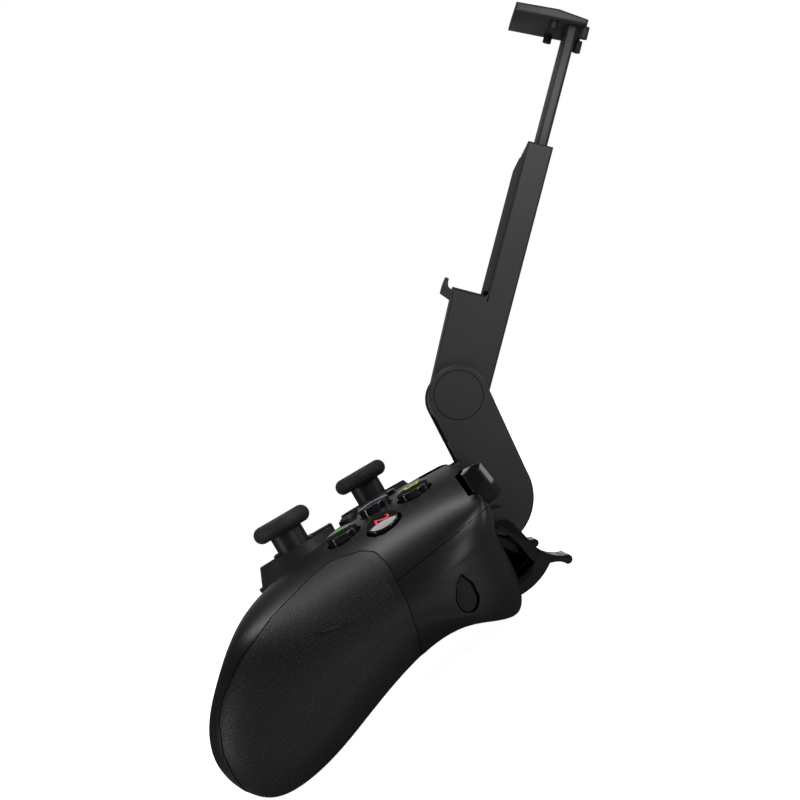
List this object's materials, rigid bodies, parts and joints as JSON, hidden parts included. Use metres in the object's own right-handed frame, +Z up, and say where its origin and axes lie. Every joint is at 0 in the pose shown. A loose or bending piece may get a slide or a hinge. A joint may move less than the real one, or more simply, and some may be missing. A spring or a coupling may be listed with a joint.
{
  "type": "game controller with phone clip",
  "caption": "Two-grip game controller with sticks, direction pad, face buttons, bumpers, pull triggers and a folding arm that clamps a phone above it.",
  "frame": {"origin": "on the table, below the middle of the whole part's box, with the controller standing on its grips and its rear edge", "axes": "+X to the player's right, +Y away from the player along the table, +Z up"},
  "size_m": [0.154, 0.207, 0.133],
  "materials": {
    "shell": "satin black",
    "grip_texture": "fine staggered dots",
    "collar": "satin black",
    "board_green": "coated fibreglass",
    "battery_wrap": "foil pouch",
    "silicone": "translucent grey",
    "inner_plastic": "moulded",
    "steel": "plain",
    "spring_steel": "rolled strip",
    "stick_plastic": "satin black",
    "stick_rubber": "fine knurl on the rim",
    "gloss_black": "high gloss",
    "arm_plastic": "matte dark grey",
    "rod_plastic": "satin",
    "pad_rubber": "smooth"
  },
  "bodies": {
    "controller": {"top_shell": "shell", "bottom_shell": "shell", "right_grip_panel": "grip_texture", "left_grip_panel": "grip_texture", "main_board": "board_green", "battery_pack": "battery_wrap", "button_sheet": "silicone", "dpad_sheet": "silicone", "middle_sheet": "silicone", "dpad_cradle": "inner_plastic", "right_stick_housing": "inner_plastic", "left_stick_housing": "inner_plastic", "right_stick_collar": "collar", "left_stick_collar": "collar", "right_trigger_frame": "inner_plastic", "left_trigger_frame": "inner_plastic", "trigger_axles": "steel", "bumper_switches": "inner_plastic", "charging_socket": "steel", "clip_dock": "inner_plastic", "shell_screws": "steel", "board_screws": "steel"},
    "right_stick_yoke": {"right_stick_yoke": "inner_plastic"},
    "right_stick_rocker": {"right_stick_rocker": "inner_plastic"},
    "right_stick": {"right_stick_stem": "stick_plastic", "right_stick_cap": "stick_rubber"},
    "left_stick_yoke": {"left_stick_yoke": "inner_plastic"},
    "left_stick_rocker": {"left_stick_rocker": "inner_plastic"},
    "left_stick": {"left_stick_stem": "stick_plastic", "left_stick_cap": "stick_rubber"},
    "south_button": {"south_button": "gloss_black"},
    "east_button": {"east_button": "gloss_black"},
    "north_button": {"north_button": "gloss_black"},
    "west_button": {"west_button": "gloss_black"},
    "dpad_pivot": {"dpad_pivot": "inner_plastic"},
    "dpad": {"dpad": "stick_plastic"},
    "guide_button": {"guide_button": "gloss_black"},
    "view_button": {"view_button": "stick_plastic"},
    "menu_button": {"menu_button": "stick_plastic"},
    "right_bumper": {"right_bumper": "gloss_black"},
    "right_trigger": {"right_trigger": "gloss_black"},
    "right_side_button": {"right_side_button": "gloss_black"},
    "left_bumper": {"left_bumper": "gloss_black"},
    "left_trigger": {"left_trigger": "gloss_black"},
    "left_side_button": {"left_side_button": "gloss_black"},
    "clip_foot": {"clip_foot": "arm_plastic"},
    "lower_arm": {"lower_arm": "arm_plastic", "lower_axle": "steel", "elbow_axle": "steel", "elbow_caps": "arm_plastic", "friction_washers": "steel"},
    "upper_arm": {"upper_arm": "arm_plastic", "arm_cover": "arm_plastic", "rest_pad": "pad_rubber", "ledge_pad": "pad_rubber", "clamp_spring": "spring_steel"},
    "clamp": {"clamp_rod": "rod_plastic", "clamp_jaw": "arm_plastic", "jaw_pegs": "pad_rubber"}
  },
  "joints": [
    {"name": "right_stick_updown", "type": "hinge", "parent": "controller", "child": "right_stick_yoke", "pos_m": [0.0204, -0.05663, 0.03943], "axis": [1, 0, 0], "range_deg": [-18, 18], "stiffness_Nm_per_rad": 0.027},
    {"name": "right_stick_leftright", "type": "hinge", "parent": "right_stick_yoke", "child": "right_stick_rocker", "pos_m": [0.0204, -0.05663, 0.03943], "axis": [0, 0.9908, -0.1354], "range_deg": [-18, 18], "stiffness_Nm_per_rad": 0.027},
    {"name": "right_stick_click", "type": "slide", "parent": "right_stick_rocker", "child": "right_stick", "axis": [0, -0.1354, -0.9908], "range_m": [0, 0.0005], "stiffness_N_per_m": 600, "springref_m": -0.0005},
    {"name": "left_stick_updown", "type": "hinge", "parent": "controller", "child": "left_stick_yoke", "pos_m": [-0.0437, -0.03157, 0.036], "axis": [1, 0, 0], "range_deg": [-18, 18], "stiffness_Nm_per_rad": 0.027},
    {"name": "left_stick_leftright", "type": "hinge", "parent": "left_stick_yoke", "child": "left_stick_rocker", "pos_m": [-0.0437, -0.03157, 0.036], "axis": [0, 0.9908, -0.1354], "range_deg": [-18, 18], "stiffness_Nm_per_rad": 0.027},
    {"name": "left_stick_click", "type": "slide", "parent": "left_stick_rocker", "child": "left_stick", "axis": [0, -0.1354, -0.9908], "range_m": [0, 0.0005], "stiffness_N_per_m": 600, "springref_m": -0.0005},
    {"name": "south_button_press", "type": "slide", "parent": "controller", "child": "south_button", "axis": [-0.1908, -0.1329, -0.9726], "range_m": [0, 0.0013], "stiffness_N_per_m": 400, "springref_m": -0.0005},
    {"name": "east_button_press", "type": "slide", "parent": "controller", "child": "east_button", "axis": [-0.4384, -0.1217, -0.8905], "range_m": [0, 0.0013], "stiffness_N_per_m": 400, "springref_m": -0.0005},
    {"name": "north_button_press", "type": "slide", "parent": "controller", "child": "north_button", "axis": [-0.1908, -0.1329, -0.9726], "range_m": [0, 0.0013], "stiffness_N_per_m": 400, "springref_m": -0.0005},
    {"name": "west_button_press", "type": "slide", "parent": "controller", "child": "west_button", "axis": [-0.0872, -0.1349, -0.987], "range_m": [0, 0.0013], "stiffness_N_per_m": 400, "springref_m": -0.0005},
    {"name": "dpad_updown", "type": "hinge", "parent": "controller", "child": "dpad_pivot", "pos_m": [-0.0204, -0.05584, 0.03932], "axis": [1, 0, 0], "range_deg": [-5, 5], "stiffness_Nm_per_rad": 0.2},
    {"name": "dpad_leftright", "type": "hinge", "parent": "dpad_pivot", "child": "dpad", "pos_m": [-0.0204, -0.05584, 0.03932], "axis": [0, 0.9908, -0.1354], "range_deg": [-5, 5], "stiffness_Nm_per_rad": 0.2},
    {"name": "guide_button_press", "type": "slide", "parent": "controller", "child": "guide_button", "axis": [0, -0.1354, -0.9908], "range_m": [0, 0.0006], "stiffness_N_per_m": 400, "springref_m": -0.0004},
    {"name": "view_button_press", "type": "slide", "parent": "controller", "child": "view_button", "axis": [0, -0.1354, -0.9908], "range_m": [0, 0.0006], "stiffness_N_per_m": 400, "springref_m": -0.0004},
    {"name": "menu_button_press", "type": "slide", "parent": "controller", "child": "menu_button", "axis": [0, -0.1354, -0.9908], "range_m": [0, 0.0006], "stiffness_N_per_m": 400, "springref_m": -0.0004},
    {"name": "right_bumper_press", "type": "hinge", "parent": "controller", "child": "right_bumper", "pos_m": [0.0222, -0.00926, 0.03598], "axis": [0, -0.1354, -0.9908], "range_deg": [0, 1.5], "stiffness_Nm_per_rad": 1, "springref_deg": -1.72},
    {"name": "right_trigger_pull", "type": "hinge", "parent": "controller", "child": "right_trigger", "pos_m": [0.0485, -0.01155, 0.02146], "axis": [-1, 0, 0], "range_deg": [0, 18], "stiffness_Nm_per_rad": 0.05, "springref_deg": -17.19},
    {"name": "right_side_button_press", "type": "slide", "parent": "controller", "child": "right_side_button", "axis": [-1, 0, 0], "range_m": [0, 0.0008], "stiffness_N_per_m": 400, "springref_m": -0.0004},
    {"name": "left_bumper_press", "type": "hinge", "parent": "controller", "child": "left_bumper", "pos_m": [-0.0222, -0.00926, 0.03598], "axis": [0, 0.1354, 0.9908], "range_deg": [0, 1.5], "stiffness_Nm_per_rad": 1, "springref_deg": -1.72},
    {"name": "left_trigger_pull", "type": "hinge", "parent": "controller", "child": "left_trigger", "pos_m": [-0.0485, -0.01155, 0.02146], "axis": [-1, 0, 0], "range_deg": [0, 18], "stiffness_Nm_per_rad": 0.05, "springref_deg": -17.19},
    {"name": "left_side_button_press", "type": "slide", "parent": "controller", "child": "left_side_button", "axis": [1, 0, 0], "range_m": [0, 0.0008], "stiffness_N_per_m": 400, "springref_m": -0.0004},
    {"name": "clip_detach", "type": "slide", "parent": "controller", "child": "clip_foot", "axis": [0, 0.9908, -0.1354], "range_m": [0, 0.012]},
    {"name": "lower_fold", "type": "hinge", "parent": "clip_foot", "child": "lower_arm", "pos_m": [0, -0.00541, 0.02799], "axis": [-1, 0, 0], "range_deg": [0, 55]},
    {"name": "upper_fold", "type": "hinge", "parent": "lower_arm", "child": "upper_arm", "pos_m": [0, 0.00771, 0.05456], "axis": [-1, 0, 0], "range_deg": [-50, 40]},
    {"name": "clamp_slide", "type": "slide", "parent": "upper_arm", "child": "clamp", "axis": [0, -0.7963, -0.6049], "range_m": [0, 0.0315]}
  ]
}
